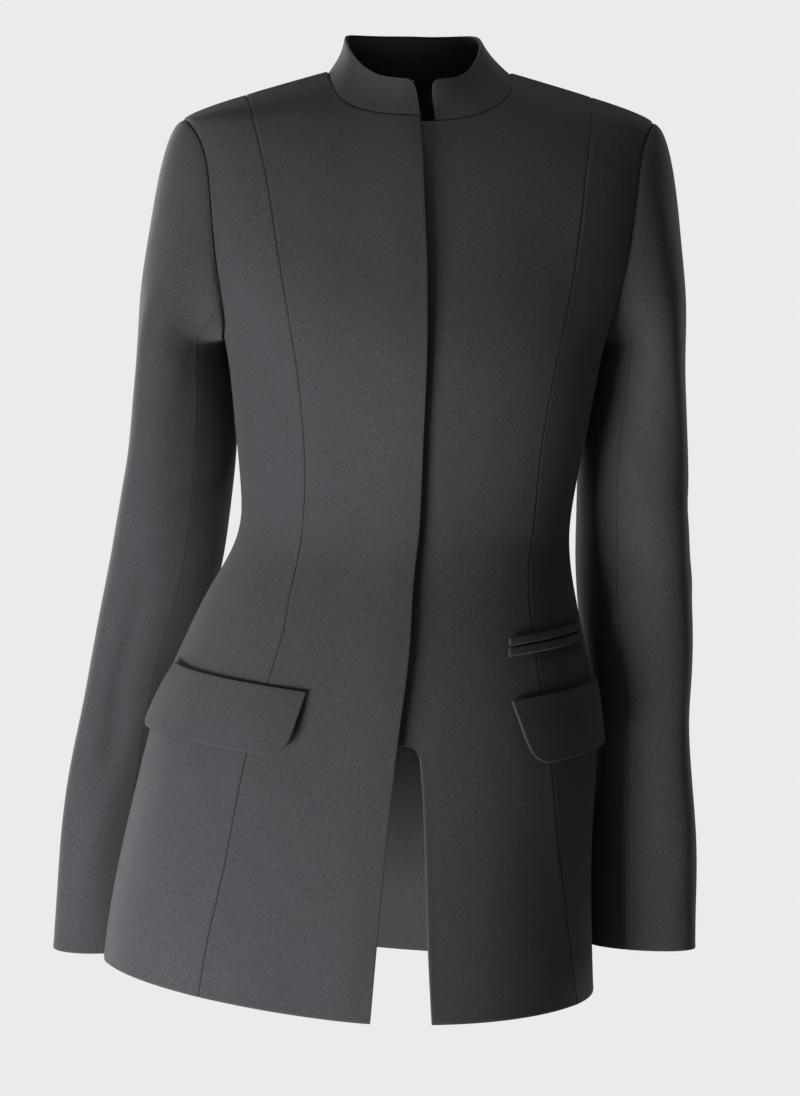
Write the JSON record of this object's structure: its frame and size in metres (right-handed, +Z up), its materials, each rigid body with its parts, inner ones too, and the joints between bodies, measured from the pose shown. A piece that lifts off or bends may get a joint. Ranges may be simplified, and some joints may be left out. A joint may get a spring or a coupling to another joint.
{
  "type": "jacket",
  "caption": "Fitted single-breasted jacket with a stand collar, a covered front closing, princess seams, slanted flap pockets and long set-in sleeves, hollow as worn.",
  "frame": {"origin": "midway between the two points where the shoulder seams meet the neck, where the wearer carries the jacket", "axes": "+Z up the body, -Y the way the front faces, +X towards the wearer's left"},
  "size_m": [0.5175, 0.3083, 0.7621],
  "materials": {
    "suiting": "dark grey fine wool suiting with a soft matt nap"
  },
  "bodies": {
    "root": {"right_front": "suiting", "left_front": "suiting", "right_side_front": "suiting", "right_side_back": "suiting", "right_back": "suiting", "right_flap": "suiting", "right_top_sleeve": "suiting", "right_under_sleeve": "suiting", "left_side_front": "suiting", "left_side_back": "suiting", "left_back": "suiting", "left_flap": "suiting", "left_top_sleeve": "suiting", "left_under_sleeve": "suiting", "upper_jet": "suiting", "lower_jet": "suiting", "stand_collar": "suiting"}
  },
  "joints": []
}
